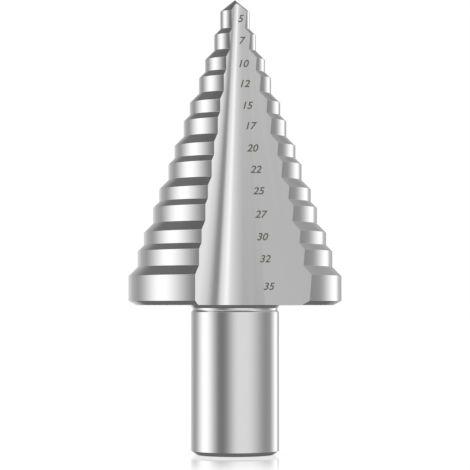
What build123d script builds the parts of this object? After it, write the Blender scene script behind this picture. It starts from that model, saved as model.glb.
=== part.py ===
from build123d import *
from math import cos, radians, sin, tan
import os

# Step drill, ground from one bar: a plain round shank, a short neck, and a cone of
# thirteen steps with a drill point, split by two opposite straight chip flutes.
# Millimetres and degrees. The origin is the centre of the shank's end face, the axis
# is +Z towards the point, and one flute faces -Y.

# Steps, from the pilot at the point to the largest
step_diameters = (5, 7, 10, 12, 15, 17, 20, 22, 25, 27, 30, 32, 35)
step_pitch = 3.552         # foot of one step to the foot of the next
step_chamfer_angle = 45    # slope of the chamfer that leads into each step
pilot_length = 2.9         # straight part of the first step
point_angle = 102          # included angle of the drill point
last_step_length = 4.1     # straight part of the largest step
back_chamfer_height = 0.65
back_chamfer_depth = 1.17
land_eccentricity = 0.06   # each half is turned this far off the axis, as edge relief

# Shank and neck
shank_diameter = 14.4
shank_length = 23.81       # end face to the top of the shank's shoulder
end_chamfer_height = 0.64
end_chamfer_depth = 0.85
neck_depth = 0.25          # the neck is turned this far below the shank's surface
neck_height = 0.55
neck_flare = 0.4           # the neck widens by this to the foot of the cone
shoulder_radius = 0.95     # rounds the shank over into the neck

# Chip flutes: a flat cutting face, a flat sloping back wall and a round root
rake_wall_angle = 22.5     # cutting face, seen along the axis, from the YZ plane
rake_wall_offset = 0.53    # cutting face to the axis
back_wall_angle = 29.0     # back wall, seen along the axis, from the XZ plane
back_wall_slope = 0.107    # how fast the back wall nears the axis towards the point
back_wall_offset = 5.57    # back wall to the axis, at the foot of the cone
root_radius_foot = 6.7     # round root at the foot of the cone
root_radius_point = 1.9    # the same root, run on to the point
flute_overrun = 3.0        # the flute runs out this far behind the cone

# Towards the point the root narrows further, which thins the web there
thinning_length = 8.0
thinned_root_radius = 0.5
thinned_wall_offset = 0.38
thinning_overrun = 0.4

# Levels and radii that follow from the sizes above
step_radii = [diameter / 2 for diameter in step_diameters]
largest_radius = step_radii[-1]
shank_radius = shank_diameter / 2
neck_radius = shank_radius - neck_depth
cone_foot = shank_length + neck_height
last_step_foot = cone_foot + back_chamfer_height
last_step_top = last_step_foot + last_step_length
last_chamfer_height = (step_radii[-1] - step_radii[-2]) / tan(radians(step_chamfer_angle))
second_last_foot = last_step_top + last_chamfer_height
pilot_foot = second_last_foot + step_pitch * (len(step_radii) - 2)
pilot_top = pilot_foot + pilot_length
point_tip = pilot_top + step_radii[0] / tan(radians(point_angle / 2))
flute_reach = 2 * largest_radius  # the flute's walls run on past the largest step
flute_half_angle = (90 - back_wall_angle + rake_wall_angle) / 2
flute_middle_angle = -90 + flute_half_angle - rake_wall_angle


def cone_outline(radius_change):
    """Half section of the stepped cone, from the point down to its foot."""
    points = [(0, point_tip), (step_radii[0] + radius_change, pilot_top)]
    foot = pilot_foot
    for radius, next_radius in zip(step_radii, step_radii[1:]):
        chamfer_height = (next_radius - radius) / tan(radians(step_chamfer_angle))
        points += [(radius + radius_change, foot), (next_radius + radius_change, foot - chamfer_height)]
        foot -= step_pitch
    points += [
        (largest_radius + radius_change, last_step_foot),
        (largest_radius + radius_change - back_chamfer_depth, cone_foot),
        (0, cone_foot),
    ]
    return [(x, 0, z) for x, z in points]


def stepped_cone():
    """Two eccentric halves, whose seam lies in the middle of the flutes."""
    edge_share = land_eccentricity * cos(radians(flute_half_angle))
    outline = Polyline(*cone_outline(-edge_share), close=True)
    half = revolve(make_face(outline), Axis.Z, 180)
    half = Pos(-land_eccentricity, 0, 0) * half
    both = half + Rot(0, 0, 180) * half
    return Rot(0, 0, flute_middle_angle) * both


def shank():
    """Shank with a chamfered end, a rounded shoulder and the flared neck above it."""
    overlap = back_chamfer_height
    shoulder_height = (shoulder_radius**2 - (shoulder_radius - neck_depth) ** 2) ** 0.5
    shoulder_foot = shank_length - shoulder_height
    lower = Polyline(
        (neck_radius, 0, shank_length),
        (neck_radius + neck_flare, 0, cone_foot),
        (neck_radius + neck_flare, 0, cone_foot + overlap),
        (0, 0, cone_foot + overlap),
        (0, 0, 0),
        (shank_radius - end_chamfer_depth, 0, 0),
        (shank_radius, 0, end_chamfer_height),
        (shank_radius, 0, shoulder_foot),
    )
    centre_x = shank_radius - shoulder_radius
    middle_height = shoulder_height / 2
    middle_x = centre_x + (shoulder_radius**2 - middle_height**2) ** 0.5
    shoulder = ThreePointArc(
        (shank_radius, 0, shoulder_foot),
        (middle_x, 0, shoulder_foot + middle_height),
        (neck_radius, 0, shank_length),
    )
    return revolve(make_face(lower + shoulder), Axis.Z, 360)


def flute_section(height, root_radius, rake_offset):
    """Closed section of the flute cutter across the axis, at one height."""
    rake, back = radians(rake_wall_angle), radians(back_wall_angle)
    rake_normal = Vector(cos(rake), -sin(rake))
    rake_along = Vector(-sin(rake), -cos(rake))
    back_normal = Vector(-sin(back), -cos(back))
    back_along = Vector(cos(back), -sin(back))
    back_offset = back_wall_offset - back_wall_slope * (height - cone_foot)

    rake_distance = rake_offset + root_radius
    back_distance = back_offset + root_radius
    shared = rake_normal.dot(back_normal)
    from_rake = (rake_distance - shared * back_distance) / (1 - shared**2)
    from_back = (back_distance - shared * rake_distance) / (1 - shared**2)
    centre = rake_normal * from_rake + back_normal * from_back + Vector(0, 0, height)

    rake_root = centre - rake_normal * root_radius
    back_root = centre - back_normal * root_radius
    floor = centre - (rake_normal + back_normal).normalized() * root_radius
    rake_end = rake_root + rake_along * flute_reach
    back_end = back_root + back_along * flute_reach
    edges = [
        Line(rake_end, rake_root),
        ThreePointArc(rake_root, floor, back_root),
        Line(back_root, back_end),
        Line(back_end, rake_end),
    ]
    return make_face(Curve() + edges)


def flute():
    """Cutter for the flute that faces -Y, with the thinning at the point."""
    def root_radius(height):
        share = (height - cone_foot) / (point_tip - cone_foot)
        return root_radius_foot + (root_radius_point - root_radius_foot) * share

    run_out = cone_foot - flute_overrun
    thinning_start = point_tip - thinning_length
    sections = [
        flute_section(run_out, root_radius(run_out), rake_wall_offset),
        flute_section(thinning_start, root_radius(thinning_start), rake_wall_offset),
        flute_section(point_tip + thinning_overrun, thinned_root_radius, thinned_wall_offset),
    ]
    return loft(sections, ruled=True)


def step_drill():
    """The whole drill, one solid."""
    cutter = flute()
    return stepped_cone() + shank() - cutter - Rot(0, 0, 180) * cutter


os.makedirs("parts", exist_ok=True)
drill = step_drill()
drill.label = "step_drill"
export_step(drill, "parts/step_drill.step")
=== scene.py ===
import math

import bmesh
import bpy
import numpy as np
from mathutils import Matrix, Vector


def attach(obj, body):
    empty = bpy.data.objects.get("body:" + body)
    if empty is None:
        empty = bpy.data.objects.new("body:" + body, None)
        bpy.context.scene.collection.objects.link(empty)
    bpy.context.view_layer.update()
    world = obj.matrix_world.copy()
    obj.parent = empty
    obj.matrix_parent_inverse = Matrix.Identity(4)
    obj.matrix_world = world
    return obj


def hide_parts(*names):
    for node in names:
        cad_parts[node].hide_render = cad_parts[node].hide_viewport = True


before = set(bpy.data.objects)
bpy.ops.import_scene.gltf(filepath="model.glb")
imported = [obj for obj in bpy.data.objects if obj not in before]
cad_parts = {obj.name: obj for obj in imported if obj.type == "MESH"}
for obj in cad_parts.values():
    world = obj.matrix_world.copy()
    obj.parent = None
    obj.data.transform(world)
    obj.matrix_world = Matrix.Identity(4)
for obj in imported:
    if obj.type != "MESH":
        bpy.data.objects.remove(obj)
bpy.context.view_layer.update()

MM = 0.001

# Camera: level with the top of the shank, pitched up a little. Its places are in metres,
# and its sensor in millimetres
camera_distance = 0.337
camera_height = 0.02342
aim_height = 0.03586
pixels_per_metre = 6101
image_width = 470
sensor_width = 36
clip_range = (0.01, 20)

# Driving sizes of the drill, in millimetres and degrees
step_diameters = (5, 7, 10, 12, 15, 17, 20, 22, 25, 27, 30, 32, 35)
step_pitch = 3.552
pilot_length = 2.9
point_angle = 102
last_step_length = 4.1
back_chamfer_height = 0.65
back_chamfer_depth = 1.17
land_eccentricity = 0.06
shank_radius = 7.2
shank_length = 23.81
end_chamfer_height = 0.64
end_chamfer_depth = 0.85
neck_depth = 0.25
neck_height = 0.55
neck_flare = 0.4
rake_wall_angle = 22.5
rake_wall_offset = 0.53
back_wall_angle = 29.0
back_wall_slope = 0.107
back_wall_offset = 5.57
root_radius_foot = 6.7
root_radius_point = 1.9
thinning_length = 8.0
thinned_root_radius = 0.5
thinned_wall_offset = 0.38
thinning_overrun = 0.4

# Levels of the straight neck, and of the slope from it to the shank
neck_top = 23.87
neck_foot = 23.56
shoulder_foot = 23.23

# How far each edge is eased, and what keeps the smooth lands just inside the faceted
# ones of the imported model
edge_ease = 0.015
land_clearance = 0.0006

# Fineness of the drill's mesh: segments round it
land_segments = 92
back_wall_segments = 10
root_segments = 22
rake_wall_segments = 8
shank_segments = 192

# Fineness of the drill's mesh: the widest gap between rings on the cone, the same within
# point_margin of the point, and the rings of the plain shank
ring_gap = 0.75
point_ring_gap = 0.12
point_margin = 0.1
plain_rings = 8

# Rings inside the cone's underside, as shares of its outline, and in the shank's end face
underside_shares = (0, 0.3, 0.6, 0.8)
end_face_radii = (4, 2, 0.5, 0)

# How far the shank runs up into the cone
shank_overlap = 0.3

# Fineness of the searches for where two surfaces meet
root_samples = 41
root_cut_steps = 40
sight_steps = 30

# Rings nearer than this are at one height, vertices nearer than this, in metres, are
# joined, and edges sharper than this angle stay sharp
same_height = 1e-6
weld_distance = 1e-7
sharp_angle = 26

# Levels that follow from the sizes
step_radii = [diameter / 2 for diameter in step_diameters]
neck_radius = shank_radius - neck_depth
cone_foot = shank_length + neck_height
last_step_foot = cone_foot + back_chamfer_height
last_step_top = last_step_foot + last_step_length
pilot_foot = (
    last_step_top + step_radii[-1] - step_radii[-2] + step_pitch * (len(step_radii) - 2)
)
pilot_top = pilot_foot + pilot_length
point_height = step_radii[0] / math.tan(math.radians(point_angle / 2))
point_tip = pilot_top + point_height
thinning_start = point_tip - thinning_length
root_taper = (root_radius_point - root_radius_foot) / (point_tip - cone_foot)

# Directions across the axis: each flute wall's normal into the flute, and the way
# along it from the root to the land
rake_turn, back_turn = math.radians(rake_wall_angle), math.radians(back_wall_angle)
rake_normal = np.array([math.cos(rake_turn), -math.sin(rake_turn)])
rake_along = np.array([-math.sin(rake_turn), -math.cos(rake_turn)])
back_normal = np.array([-math.sin(back_turn), -math.cos(back_turn)])
back_along = np.array([math.cos(back_turn), -math.sin(back_turn)])
half_groove = (math.pi / 2 - back_turn + rake_turn) / 2
seam_angle = -math.pi / 2 + half_groove - rake_turn
seam = np.array([math.cos(seam_angle), math.sin(seam_angle)])
left_centre = seam * land_eccentricity
right_centre = -left_centre


def groove_centre(rake_offset, back_offset, radius):
    """Centre of the round root that touches both walls of the front flute."""
    shared = rake_normal @ back_normal
    rake_distance, back_distance = rake_offset + radius, back_offset + radius
    from_rake = (rake_distance - shared * back_distance) / (1 - shared**2)
    from_back = (back_distance - shared * rake_distance) / (1 - shared**2)
    return rake_normal * from_rake + back_normal * from_back


def flute_shape(height):
    """Root circle's centre and radius, and the wall offsets, of the front flute."""
    radius = root_radius_foot + root_taper * (height - cone_foot)
    rake_offset = rake_wall_offset
    if height > thinning_start:
        start_radius = root_radius_foot + root_taper * (thinning_start - cone_foot)
        share = (height - thinning_start) / (thinning_length + thinning_overrun)
        radius = start_radius + (thinned_root_radius - start_radius) * share
        rake_offset = rake_wall_offset + (thinned_wall_offset - rake_wall_offset) * share
    back_offset = back_wall_offset - back_wall_slope * (height - cone_foot)
    centre = groove_centre(rake_offset, back_offset, radius)
    return centre, radius, rake_offset, back_offset


def root_point(centre, radius, turn):
    """A point of the root: turn 0 is where it meets the back wall, 1 the rake wall."""
    start = math.atan2(back_normal[1], back_normal[0])
    end = math.atan2(rake_normal[1], rake_normal[0])
    angle = start + (end - start) * turn
    return centre - radius * np.array([math.cos(angle), math.sin(angle)])


def wall_reach(normal, along, offset, land_centre, land_radius):
    """How far along a wall the land's circle cuts it."""
    across = offset - normal @ land_centre
    inside = land_radius**2 - across**2
    return along @ land_centre + math.sqrt(inside) if inside > 0 else -math.inf


def root_cut(centre, radius, land_centre, land_radius, outer_turn, inner_turn):
    """Where the land's circle cuts the root, between an outer and an inner place."""
    for _ in range(root_cut_steps):
        middle = (outer_turn + inner_turn) / 2
        outside = np.linalg.norm(root_point(centre, radius, middle) - land_centre) > land_radius
        if outside:
            outer_turn = middle
        else:
            inner_turn = middle
    return inner_turn


def flute_line(height, land_radius):
    """Points of the front flute from the right land's heel to the left cutting edge."""
    centre, radius, rake_offset, back_offset = flute_shape(height)
    turns = np.linspace(0, 1, root_samples)
    gaps = [np.linalg.norm(root_point(centre, radius, turn)) - land_radius for turn in turns]
    count = back_wall_segments + root_segments + rake_wall_segments
    if min(gaps) >= 0:
        ends = right_centre + seam * land_radius, left_centre + seam * land_radius
        return [ends[0] + (ends[1] - ends[0]) * step / count for step in range(count + 1)]

    deepest = turns[int(np.argmin(gaps))]
    back_reach = wall_reach(back_normal, back_along, back_offset, right_centre, land_radius)
    back_foot = back_along @ root_point(centre, radius, 0)
    if back_reach > back_foot:
        first_turn = 0
        wall = [
            back_normal * back_offset + back_along * reach
            for reach in np.linspace(back_reach, back_foot, back_wall_segments + 1)
        ]
    else:
        first_turn = root_cut(centre, radius, right_centre, land_radius, 0, deepest)
        wall = [root_point(centre, radius, first_turn)] * (back_wall_segments + 1)

    rake_reach = wall_reach(rake_normal, rake_along, rake_offset, left_centre, land_radius)
    rake_foot = rake_along @ root_point(centre, radius, 1)
    if rake_reach > rake_foot:
        last_turn = 1
        face = [
            rake_normal * rake_offset + rake_along * reach
            for reach in np.linspace(rake_foot, rake_reach, rake_wall_segments + 1)
        ]
    else:
        last_turn = root_cut(centre, radius, left_centre, land_radius, 1, deepest)
        face = [root_point(centre, radius, last_turn)] * (rake_wall_segments + 1)

    root = [
        root_point(centre, radius, turn)
        for turn in np.linspace(first_turn, last_turn, root_segments + 1)
    ]
    return wall[:-1] + root[:-1] + face


def cone_ring(height, nominal_radius):
    """One closed line round the fluted cone: front flute, left land, then the same behind."""
    relief = land_eccentricity * math.cos(half_groove) + land_clearance
    land_radius = max(nominal_radius - relief, 0)
    front = flute_line(height, land_radius)
    start = front[-1] - left_centre
    end = -front[0] - left_centre
    start_angle = math.atan2(start[1], start[0]) if land_radius else seam_angle
    end_angle = math.atan2(end[1], end[0]) if land_radius else seam_angle + math.pi
    sweep = (end_angle - start_angle) % (2 * math.pi) - 2 * math.pi
    angles = [start_angle + sweep * step / land_segments for step in range(1, land_segments)]
    land = [
        left_centre + land_radius * np.array([math.cos(angle), math.sin(angle)])
        for angle in angles
    ]
    half = np.array(front + land)
    return np.vstack([half, -half])


def eased(corners, ease):
    """A (radius, height) line with each corner slightly rounded and held on both sides."""
    points = [np.array(corners[0], float)]
    for before, corner, after in zip(corners, corners[1:], corners[2:]):
        before, corner, after = (np.array(p, float) for p in (before, corner, after))
        inward = (before - corner) / np.linalg.norm(before - corner)
        onward = (after - corner) / np.linalg.norm(after - corner)
        start, end = corner + inward * ease, corner + onward * ease
        middle = (start + 2 * corner + end) / 4
        points += [start + inward * ease * 2, start, middle, end, end + onward * ease * 2]
    points.append(np.array(corners[-1], float))
    return points


def cone_corners():
    """Corners of the stepped cone's outline, from its foot up to the point."""
    corners = [
        (step_radii[-1] - back_chamfer_depth, cone_foot),
        (step_radii[-1], last_step_foot),
        (step_radii[-1], last_step_top),
    ]
    foot = last_step_top + step_radii[-1] - step_radii[-2]
    for radius, smaller in zip(step_radii[-2:0:-1], step_radii[-3::-1]):
        top = foot + step_pitch - (radius - smaller)
        corners += [(radius, foot), (radius, top)]
        foot += step_pitch
    corners += [(step_radii[0], pilot_foot), (step_radii[0], pilot_top), (0, point_tip)]
    return corners


def cone_levels():
    """Radius and height of every ring of the cone, closer together near the point."""
    levels = eased(cone_corners(), edge_ease)
    spaced = [levels[0]]
    for level in levels[1:]:
        last = spaced[-1]
        length = np.linalg.norm(level - last)
        widest_gap = point_ring_gap if level[1] > pilot_top - point_margin else ring_gap
        parts = max(1, math.ceil(length / widest_gap))
        spaced += [last + (level - last) * part / parts for part in range(1, parts + 1)]
    return spaced


def shank_levels():
    """Radius and height of every ring below the cone, from the neck's top to the end face."""
    below_shoulder, above_chamfer = shoulder_foot - 0.5, 1.5
    plain_top, plain_foot = shoulder_foot - 1.5, 2.0
    chamfered_radius = shank_radius - end_chamfer_depth
    neck = eased(
        [
            (neck_radius + neck_flare, cone_foot),
            (neck_radius, neck_top),
            (neck_radius, neck_foot),
            (shank_radius, shoulder_foot),
            (shank_radius, below_shoulder),
        ],
        edge_ease,
    )
    plain_heights = np.linspace(plain_top, plain_foot, plain_rings)
    plain = [(shank_radius, height) for height in plain_heights]
    foot = eased(
        [
            (shank_radius, above_chamfer),
            (shank_radius, end_chamfer_height),
            (chamfered_radius, 0),
            (chamfered_radius - 1, 0),
        ],
        edge_ease,
    )
    face = [(radius, 0) for radius in end_face_radii]
    return [tuple(p) for p in neck] + plain + [tuple(p) for p in foot] + face


# Kinds of surface, in the order of the pieces' material slots
TURNED, GROUND, FACED = 0, 1, 2


def stack(rings):
    """Vertices, faces and surface kinds of closed rings, one above the other."""
    count = len(rings[0])
    half = count // 2
    flute_count = back_wall_segments + root_segments + rake_wall_segments
    faces, surfaces = [], []
    for level in range(len(rings) - 1):
        low, high = level * count, (level + 1) * count
        flat = abs(rings[level][0, 2] - rings[level + 1][0, 2]) < same_height
        for place in range(count):
            after = (place + 1) % count
            faces.append((low + place, high + place, high + after, low + after))
            if flat:
                surfaces.append(FACED)
            else:
                surfaces.append(GROUND if place % half < flute_count else TURNED)
    return np.vstack(rings) * MM, faces, surfaces


def cone_mesh():
    """The fluted cone: its rings, closed by the underside."""
    rings = []
    for radius, height in cone_levels():
        flat = cone_ring(height, radius)
        rings.append(np.column_stack([flat, np.full(len(flat), height)]))
    lowest = rings[0]
    centre = np.array([0, 0, cone_foot])
    underside = [centre + (lowest - centre) * share for share in underside_shares]
    return stack(underside + rings)


def shank_mesh():
    """The round shank and neck, from its end face to just inside the cone."""
    rings = []
    angles = -np.linspace(0, 2 * math.pi, shank_segments, endpoint=False)
    top_height = cone_foot + shank_overlap
    top = [(0, top_height), (neck_radius + neck_flare, top_height)]
    for radius, height in (top + shank_levels())[::-1]:
        x, y = radius * np.cos(angles), radius * np.sin(angles)
        rings.append(np.column_stack([x, y, np.full(len(angles), height)]))
    vertices, faces, surfaces = stack(rings)
    return vertices, faces, [kind if kind == FACED else TURNED for kind in surfaces]


def make_piece(name, parts, materials):
    """A smooth-shaded object from vertices, faces and each face's kind of surface."""
    vertices, faces, surfaces = parts
    mesh = bpy.data.meshes.new(name)
    mesh.from_pydata([tuple(v) for v in vertices], [], faces)
    for material in materials:
        mesh.materials.append(material)
    mesh.polygons.foreach_set("material_index", surfaces)
    work = bmesh.new()
    work.from_mesh(mesh)
    bmesh.ops.remove_doubles(work, verts=work.verts, dist=weld_distance)
    bmesh.ops.dissolve_degenerate(work, edges=work.edges, dist=weld_distance)
    bmesh.ops.recalc_face_normals(work, faces=work.faces)
    work.to_mesh(mesh)
    work.free()
    mesh.polygons.foreach_set("use_smooth", [True] * len(mesh.polygons))
    mesh.set_sharp_from_angle(angle=math.radians(sharp_angle))
    piece = bpy.data.objects.new(name, mesh)
    bpy.context.scene.collection.objects.link(piece)
    return piece


# The flutes shade as if they were ground slightly hollow. Their shading direction follows
# the round root, without its thinning, in degrees from the front. Past hollow_start it
# turns by only hollow_share of that, which sets in over hollow_softness. On the cutting
# face it turns by hollow_rise more, over a length of hollow_reach of the cone's radius
hollow_start = 55.0
hollow_share = 0.3
hollow_softness = 1.5
hollow_rise = 2.8
hollow_reach = 0.18


def flute_direction(point):
    """Shading direction of the front flute at a point of it."""
    across, height = point[0], point[2]
    radius = root_radius_foot + root_taper * (height - cone_foot)
    back_offset = back_wall_offset - back_wall_slope * (height - cone_foot)
    centre = groove_centre(rake_wall_offset, back_offset, radius)
    share = (centre[0] - across) / radius
    turn = math.asin(min(max(share, back_normal[0]), rake_normal[0]))
    square = np.array([math.sin(turn), -math.cos(turn)])
    rise = root_taper - square @ groove_centre(0, -back_wall_slope, root_taper)

    angle = math.degrees(turn)
    past_start = (angle - hollow_start) / hollow_softness
    angle -= (1 - hollow_share) * hollow_softness * math.log1p(math.exp(past_start))
    past_root = (share - rake_normal[0]) * radius / -rake_along[0]
    cone_radius = step_radii[-1] * (point_tip - height) / (point_tip - cone_foot)
    face_share = past_root / (hollow_reach * max(cone_radius, 1))
    angle += hollow_rise * min(max(face_share, 0), 1)
    turn = math.radians(angle)
    return Vector((math.sin(turn), -math.cos(turn), rise)).normalized()


def hollow_grind(piece):
    """Give the two flutes their shading directions. The form stays as it is."""
    mesh = piece.data
    normals = [Vector(corner.vector) for corner in mesh.corner_normals]
    directions = {}
    for polygon in mesh.polygons:
        if polygon.material_index != GROUND:
            continue
        for corner in polygon.loop_indices:
            vertex = mesh.loops[corner].vertex_index
            if vertex not in directions:
                point = np.array(mesh.vertices[vertex].co) / MM
                side = 1 if seam @ point[:2] > 0 else -1
                half_turn = np.array([side, side, 1])
                front = flute_direction(point * half_turn)
                directions[vertex] = Vector((front.x * side, front.y * side, front.z))
            normals[corner] = directions[vertex]
    mesh.normals_split_custom_set(normals)


class Nodes:
    """Short calls for building a node tree."""

    def __init__(self, tree):
        self.tree = tree
        tree.nodes.clear()

    def add(self, kind, inputs=(), **settings):
        """A node with its settings. Each of its inputs is a value or a link."""
        node = self.tree.nodes.new(kind)
        for name, value in settings.items():
            setattr(node, name, value)
        for key, value in dict(inputs).items():
            if isinstance(value, bpy.types.NodeSocket):
                self.tree.links.new(value, node.inputs[key])
            else:
                node.inputs[key].default_value = value
        return node

    def math(self, operation, *values):
        """The result of one math node."""
        node = self.add("ShaderNodeMath", dict(enumerate(values)), operation=operation)
        return node.outputs[0]

    def ease(self, value, start, end, low=0.0, high=1.0):
        """A smooth step from low at start to high at end."""
        inputs = {
            "Value": value, "From Min": start, "From Max": end, "To Min": low, "To Max": high,
        }
        node = self.add("ShaderNodeMapRange", inputs, interpolation_type="SMOOTHSTEP")
        return node.outputs["Result"]

    def product(self, *values):
        return self.math("MULTIPLY", *values)

    def total(self, *values):
        return self.math("ADD", *values)


# Colours of the bare steel and of the marking burnt into it
steel_colour = (0.78, 0.78, 0.785)
ink_colour = (0.20, 0.178, 0.13)
ink_roughness = 0.6
ink_metallic = 0.3
speckle_darkness = 0.6
speckle_scale = 9000.0

# Machining marks, in cycles a metre: across them, and the slow drift along them
turned_marks_along_axis = 9000.0
turned_marks_across_face = 3000.0
turned_drift = 60.0
ground_marks_across = (14000.0, 10000.0)
ground_drift = 30.0
faced_marks_across = 8000.0

# Roughness follows the marks, between these shares of a finish's own, and dull clouds add
# a finish's mottle to it. The ranges are the noise over which the marks and clouds show
roughness_shares = (0.8, 1.25)
marks_range = (0.3, 0.7)
cloud_range = (0.35, 0.65)
cloud_scale = 260.0


def turned_marks(nodes, x, y, z):
    """Fine rings round the axis."""
    radius = nodes.math("SQRT", nodes.total(nodes.product(x, x), nodes.product(y, y)))
    along_axis = nodes.product(z, turned_marks_along_axis)
    across_face = nodes.product(radius, turned_marks_across_face)
    place = {0: nodes.product(x, turned_drift), 1: nodes.total(along_axis, across_face)}
    return nodes.add("ShaderNodeCombineXYZ", place).outputs[0]


def ground_marks(nodes, x, y, z):
    """Fine lines along the flute."""
    across_x, across_y = ground_marks_across
    across = nodes.total(nodes.product(x, across_x), nodes.product(y, across_y))
    place = {0: across, 1: nodes.product(z, ground_drift)}
    return nodes.add("ShaderNodeCombineXYZ", place).outputs[0]


def faced_marks(nodes, x, y, z):
    """Rings on a flat turned face."""
    radius = nodes.math("SQRT", nodes.total(nodes.product(x, x), nodes.product(y, y)))
    place = {0: nodes.product(radius, faced_marks_across)}
    return nodes.add("ShaderNodeCombineXYZ", place).outputs[0]


def steel(name, roughness, marks, mark_height, mottle):
    """Bright steel. marks gives the texture place of its machining marks, mark_height is
    their height in millimetres, and mottle is how much rougher its dull clouds are."""
    material = bpy.data.materials.new(name)
    material.use_nodes = True
    nodes = Nodes(material.node_tree)
    place = nodes.add("ShaderNodeTexCoord").outputs["Object"]
    split = nodes.add("ShaderNodeSeparateXYZ", {0: place})
    mark_place = marks(nodes, *split.outputs)
    fine = nodes.add(
        "ShaderNodeTexNoise", {"Vector": mark_place, "Scale": 1.0, "Detail": 3.0, "Roughness": 0.6}
    )
    cloud = nodes.add(
        "ShaderNodeTexNoise", {"Vector": place, "Scale": cloud_scale, "Detail": 2.0}
    )
    smoothest, roughest = (roughness * share for share in roughness_shares)
    rough = nodes.ease(fine.outputs[0], *marks_range, smoothest, roughest)
    rough = nodes.total(rough, nodes.ease(cloud.outputs[0], *cloud_range, 0.0, mottle))
    bump_inputs = {"Strength": 1.0, "Distance": mark_height * MM, "Height": fine.outputs[0]}
    bump = nodes.add("ShaderNodeBump", bump_inputs)
    shader = nodes.add(
        "ShaderNodeBsdfPrincipled",
        {
            "Base Color": (*steel_colour, 1),
            "Metallic": 1.0,
            "Roughness": rough,
            "Normal": bump.outputs[0],
        },
    )
    nodes.add("ShaderNodeOutputMaterial", {0: shader.outputs[0]})
    return material


def ink(name):
    """Dull dark marking, burnt into the steel, with fine darker speckles."""
    material = bpy.data.materials.new(name)
    material.use_nodes = True
    nodes = Nodes(material.node_tree)
    place = nodes.add("ShaderNodeTexCoord").outputs["Object"]
    speckle = nodes.add(
        "ShaderNodeTexNoise", {"Vector": place, "Scale": speckle_scale, "Detail": 3.0}
    )
    darker = [channel * speckle_darkness for channel in ink_colour]
    share = nodes.ease(speckle.outputs[0], *cloud_range)
    colours = {0: share, 6: (*ink_colour, 1), 7: (*darker, 1)}
    shade = nodes.add("ShaderNodeMix", colours, data_type="RGBA")
    shader = nodes.add(
        "ShaderNodeBsdfPrincipled",
        {"Base Color": shade.outputs[2], "Roughness": ink_roughness, "Metallic": ink_metallic},
    )
    nodes.add("ShaderNodeOutputMaterial", {0: shader.outputs[0]})
    return material


# Size numbers on the front flute: for each size, its place to the right of the axis and
# over the middle of its step, in millimetres on the plane of the axis as the camera sees
# it. They were measured in the photo, then shifted by rounded differences that a scratch
# script measured between the photo and a render
number_places = {
    5: (0.85, 0.33),
    7: (1.01, 0.43),
    10: (1.26, 0.41),
    12: (1.49, 0.41),
    15: (1.93, 0.63),
    17: (2.42, 0.57),
    20: (2.82, 0.70),
    22: (3.38, 0.49),
    25: (3.83, 0.76),
    27: (4.16, 0.22),
    30: (4.42, 0.32),
    32: (4.88, 0.01),
    35: (5.48, 0.32),
}
number_height = 1.18
number_width = 1.05
number_slant = 0.25
number_weight = 0.026
number_lift = 0.010
number_thickness = 0.006
number_curve_steps = 6
digit_share = 0.7  # height of a digit as a share of the font's size


def step_middle(index):
    """Height of the middle of a step's straight part."""
    if index == 0:
        return (pilot_foot + pilot_top) / 2
    if index == len(step_radii) - 1:
        return (last_step_foot + last_step_top) / 2
    foot = pilot_foot - step_pitch * index
    top = foot + step_pitch - (step_radii[index] - step_radii[index - 1])
    return (foot + top) / 2


def flute_gap(point):
    """How far a point stands clear of the front flute's surface."""
    centre, radius, rake_offset, back_offset = flute_shape(point[2])
    from_centre = point[:2] - centre
    if rake_along @ from_centre > 0:
        return rake_normal @ point[:2] - rake_offset
    if back_along @ from_centre > 0:
        return back_normal @ point[:2] - back_offset
    return radius - np.linalg.norm(from_centre)


def seen_on_flute(across, height):
    """Point of the front flute where the camera sees a place of the XZ plane."""
    eye = np.array([0, -camera_distance, camera_height]) / MM
    target = np.array([across, 0, height])
    clear, inside = 0.9, 1.0  # shares of the way from the camera to that place
    for _ in range(sight_steps):
        middle = (clear + inside) / 2
        if flute_gap(eye + (target - eye) * middle) > 0:
            clear = middle
        else:
            inside = middle
    return eye + (target - eye) * clear


def number_mesh(diameter):
    """One size number, upright in the XZ plane, in millimetres."""
    text = bpy.data.curves.new(f"size_{diameter}", "FONT")
    text.body = str(diameter)
    text.align_x = "CENTER"
    text.align_y = "CENTER"
    text.size = number_height / digit_share
    text.shear = number_slant
    text.offset = number_weight
    text.extrude = number_thickness
    text.resolution_u = number_curve_steps
    holder = bpy.data.objects.new(f"size_{diameter}", text)
    bpy.context.scene.collection.objects.link(holder)
    bpy.context.view_layer.update()
    flat = bpy.data.meshes.new_from_object(holder)
    bpy.data.objects.remove(holder)
    return flat


def make_numbers(material):
    """The thirteen size numbers as one thin mesh on the front flute."""
    work = bmesh.new()
    for index, diameter in enumerate(step_diameters):
        across, rise = number_places[diameter]
        middle = step_middle(index) + rise
        flat = number_mesh(diameter)
        for vertex in flat.vertices:
            x, z, depth = vertex.co
            place = seen_on_flute(across + x * number_width, middle + z)
            off_surface = np.array(flute_direction(place)) * (number_lift + depth)
            vertex.co = (place + off_surface) * MM
        work.from_mesh(flat)
    mesh = bpy.data.meshes.new("size_numbers")
    work.to_mesh(mesh)
    work.free()
    mesh.materials.clear()
    mesh.materials.append(material)
    numbers = bpy.data.objects.new("size_numbers", mesh)
    bpy.context.scene.collection.objects.link(numbers)
    return numbers


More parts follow.
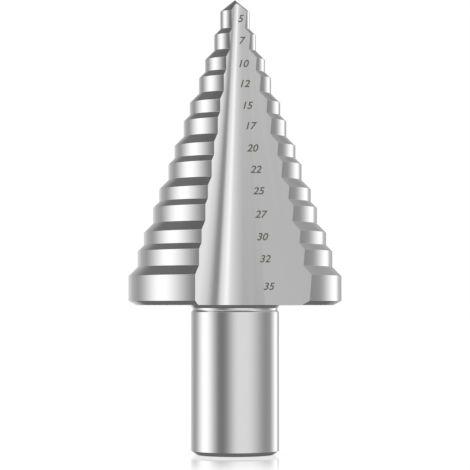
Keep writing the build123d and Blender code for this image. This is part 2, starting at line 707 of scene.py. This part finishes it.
# Studio that the steel reflects: soft upright cards round a grey room. Each card has its
# direction in degrees from straight behind the camera, towards the right, its half width,
# the softness of its left and of its right edge, and its strength. A gap and a flag take
# light away. Most of these values began as least-squares fits by scratch programs, to the
# brightness of the steel in the photo. They were rounded, and partly changed
level_cards = {
    "left_key": (-85, 0, 47, 48, 1.11),
    "front_fill": (20, 9, 44, 65, 0.65),
    "right_key": (137, 0, 36, 15, 0.84),
    "back_wall": (186, 10, 133, 68, 0.35),
    "left_back": (-162, 4.5, 12, 13, 0.14),
    "right_gap": (171, 4, 10, 8, -0.17),
}
low_cards = {
    **level_cards,
    "right_foot": (60, 10, 20, 20, 0.56),
    "right_key": (136.5, 1, 34, 19, 0.88),
}
upper_cards = {
    "left_key": (-87, 3, 34, 27, 0.83),
    "front_high": (4, 64, 61, 25, 0.20),
    "right_high": (64, 9, 48, 18, 0.40),
    "right_top": (54.5, 0, 11, 17, 0.31),
    "right_key": (136.5, 1, 34, 19, 0.88),
    "back_high": (182, 15, 100, 30, 0.13),
    "left_fill": (-45, 0, 14, 14, 0.05),
}
high_cards = {**upper_cards, "right_high": (78, 23, 50, 18, 0.38)}
flagged_cards = {**high_cards, "front_flag": (1, 2, 18, 14, -0.07)}
tall_cards = {
    "left_tall": (-84, 10, 28, 50, 0.90),
    "front_tall": (25, 45, 60, 50, 0.56),
    "right_tall": (58, 4, 16, 24, 0.35),
    "right_bounce": (128, 10, 30, 36, 0.23),
}
ceiling_cards = {"right_bounce": (128, 10, 30, 36, 0.23)}

# The cards by elevation. Each band takes over from those before it between its two
# elevations, in degrees, and has the grey of the room there and its cards. Under them all
# is the grey ground. Some greys of the room come from the same fits as the cards
ground_level = 0.16
studio_bands = [
    (-24, -11, 0.222, level_cards),
    (3, 8, 0.185, low_cards),
    (9, 13, 0.345, upper_cards),
    (12, 15, 0.345, flagged_cards),
    (16, 20, 0.345, high_cards),
    (14, 34, 0.18, tall_cards),
    (48, 62, 0.145, ceiling_cards),
]

# The white backdrop straight behind the drill, in degrees: its half width, the share of
# that which is plain white, and the elevations up to which it is white and at which it ends
backdrop_half_width = 9.3
backdrop_white_share = 0.7
backdrop_elevations = (7, 9)

# What the camera sees behind the drill, and what lights matt surfaces
background_level = 1.0
diffuse_level = 0.95


def card_light(nodes, azimuth, card):
    """Brightness that one upright card adds, by direction round the drill."""
    direction, half_width, left_softness, right_softness = map(math.radians, card[:4])
    strength = card[4]
    turned = nodes.math("SUBTRACT", azimuth, direction)
    away = nodes.math("WRAP", turned, math.pi, -math.pi)
    left = nodes.ease(away, -half_width - left_softness, -half_width)
    right = nodes.ease(away, half_width, half_width + right_softness, strength, 0.0)
    return nodes.product(left, right)


def lit_by(nodes, azimuth, room, cards):
    """Brightness of the room and all cards of a band, by direction round the drill."""
    level = room
    for card in cards.values():
        level = nodes.total(level, card_light(nodes, azimuth, card))
    return level


def blend(nodes, value, start, end, below, above):
    """below up to one elevation, above from another, and soft between them."""
    share = nodes.ease(value, math.radians(start), math.radians(end))
    difference = nodes.math("SUBTRACT", above, below)
    return nodes.total(below, nodes.product(difference, share))


def make_world():
    """White for the camera; cards and gaps of a plain studio for what is reflected."""
    world = bpy.data.worlds.new("studio")
    bpy.context.scene.world = world
    world.use_nodes = True
    nodes = Nodes(world.node_tree)
    direction = nodes.add("ShaderNodeTexCoord").outputs["Generated"]
    x, y, z = nodes.add("ShaderNodeSeparateXYZ", {0: direction}).outputs
    azimuth = nodes.math("ARCTAN2", x, nodes.product(y, -1.0))
    elevation = nodes.math("ARCSINE", z)

    seen = ground_level
    for start, end, room, cards in studio_bands:
        seen = blend(nodes, elevation, start, end, seen, lit_by(nodes, azimuth, room, cards))

    turned = nodes.math("WRAP", azimuth, 2 * math.pi, 0.0)
    from_back = nodes.math("ABSOLUTE", nodes.math("SUBTRACT", turned, math.pi))
    half_width = math.radians(backdrop_half_width)
    across = nodes.ease(from_back, half_width * backdrop_white_share, half_width, 1.0, 0.0)
    white_up_to, ends_at = map(math.radians, backdrop_elevations)
    height = nodes.ease(nodes.math("ABSOLUTE", elevation), white_up_to, ends_at, 1.0, 0.0)
    backdrop = nodes.product(nodes.product(across, height), background_level)
    seen = nodes.math("MAXIMUM", seen, backdrop)

    path = nodes.add("ShaderNodeLightPath")
    reflected = nodes.math(
        "MAXIMUM", path.outputs["Is Glossy Ray"], path.outputs["Is Transmission Ray"]
    )
    plain = nodes.ease(path.outputs["Is Camera Ray"], 0.0, 1.0, diffuse_level, background_level)
    white_colour = (1, 1, 1, 1)
    studio = nodes.add("ShaderNodeBackground", {"Color": white_colour, "Strength": seen})
    white = nodes.add("ShaderNodeBackground", {"Color": white_colour, "Strength": plain})
    shares = {0: reflected, 1: white.outputs[0], 2: studio.outputs[0]}
    mixed = nodes.add("ShaderNodeMixShader", shares)
    nodes.add("ShaderNodeOutputWorld", {0: mixed.outputs[0]})


# Floor, in metres: it glows white, and its little albedo keeps the drill's shadow. Its
# gloss fades out at floor_gloss_reach from the axis, and under the shank too, where it is
# floor_gloss_least of itself up to floor_gloss_start and whole from floor_gloss_full
floor_size = 3.0
floor_glow = 0.90
floor_albedo = 0.14
floor_gloss = 0.81
floor_gloss_reach = 0.042
floor_gloss_start = 0.011
floor_gloss_full = 0.017
floor_gloss_least = 0.35
floor_roughness = 0.03

# Its gloss rises from the first share to the second over these two values of facing
steep_gloss, grazing_gloss = 0.1, 1.0
steep_facing, grazing_facing = 0.7, 0.95


def make_floor():
    """White floor that keeps a soft shadow and a short reflection near the drill."""
    mesh = bpy.data.meshes.new("floor")
    half = floor_size / 2
    corners = [(-half, -half, 0), (half, -half, 0), (half, half, 0), (-half, half, 0)]
    mesh.from_pydata(corners, [], [(0, 1, 2, 3)])
    material = bpy.data.materials.new("floor_white")
    material.use_nodes = True
    nodes = Nodes(material.node_tree)
    place = nodes.add("ShaderNodeTexCoord").outputs["Object"]
    away = nodes.add("ShaderNodeVectorMath", {0: place}, operation="LENGTH").outputs["Value"]
    inputs = {
        "Value": away, "From Min": 0.0, "From Max": floor_gloss_reach,
        "To Min": floor_gloss, "To Max": 0.0,
    }
    fade = nodes.add("ShaderNodeMapRange", inputs).outputs["Result"]
    near = nodes.ease(away, floor_gloss_start, floor_gloss_full, floor_gloss_least, 1.0)
    fade = nodes.product(fade, near)
    grey = (floor_albedo, floor_albedo, floor_albedo, 1)
    matt = nodes.add("ShaderNodeBsdfDiffuse", {"Color": grey})
    glow = nodes.add("ShaderNodeEmission", {"Strength": floor_glow})
    white = nodes.add("ShaderNodeAddShader", {0: matt.outputs[0], 1: glow.outputs[0]})
    facing = nodes.add("ShaderNodeLayerWeight", {"Blend": 0.5}).outputs["Facing"]
    gloss = nodes.ease(facing, steep_facing, grazing_facing, steep_gloss, grazing_gloss)
    share = nodes.product(fade, gloss)
    mirror_inputs = {"Color": (1, 1, 1, 1), "Roughness": floor_roughness}
    mirror = nodes.add("ShaderNodeBsdfAnisotropic", mirror_inputs)
    mixed = nodes.add("ShaderNodeMixShader", {0: share, 1: white.outputs[0], 2: mirror.outputs[0]})
    nodes.add("ShaderNodeOutputMaterial", {0: mixed.outputs[0]})
    mesh.materials.append(material)
    floor = bpy.data.objects.new("floor", mesh)
    bpy.context.scene.collection.objects.link(floor)
    floor.visible_glossy = False


def make_camera():
    """The camera, at the photograph's place and framing."""
    data = bpy.data.cameras.new("camera")
    data.sensor_width = sensor_width
    data.lens = pixels_per_metre * camera_distance * sensor_width / image_width
    data.clip_start, data.clip_end = clip_range
    camera = bpy.data.objects.new("camera", data)
    bpy.context.scene.collection.objects.link(camera)
    camera.location = (0, -camera_distance, camera_height)
    aim = Vector((0, 0, aim_height)) - camera.location
    camera.rotation_euler = aim.to_track_quat("-Z", "Y").to_euler()
    bpy.context.scene.camera = camera


bpy.context.scene.view_settings.view_transform = "Standard"
make_camera()
make_world()
make_floor()

turned = steel("turned_steel", roughness=0.10, marks=turned_marks, mark_height=0.0006, mottle=0.03)
ground = steel("ground_steel", roughness=0.15, marks=ground_marks, mark_height=0.0003, mottle=0.0)
faced = steel("faced_steel", roughness=0.20, marks=faced_marks, mark_height=0.0008, mottle=0.03)
marking = ink("burnt_marking")

finishes = [turned, ground, faced]
cone = make_piece("drill_cone", cone_mesh(), finishes)
hollow_grind(cone)
shank = make_piece("drill_shank", shank_mesh(), finishes)
for piece in (cone, shank):
    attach(piece, "root")
    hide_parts("step_drill")

# Neither the cone nor the numbers show in the floor or in the steel
cone.visible_glossy = False
numbers = make_numbers(marking)
numbers.visible_glossy = False
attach(numbers, "root")
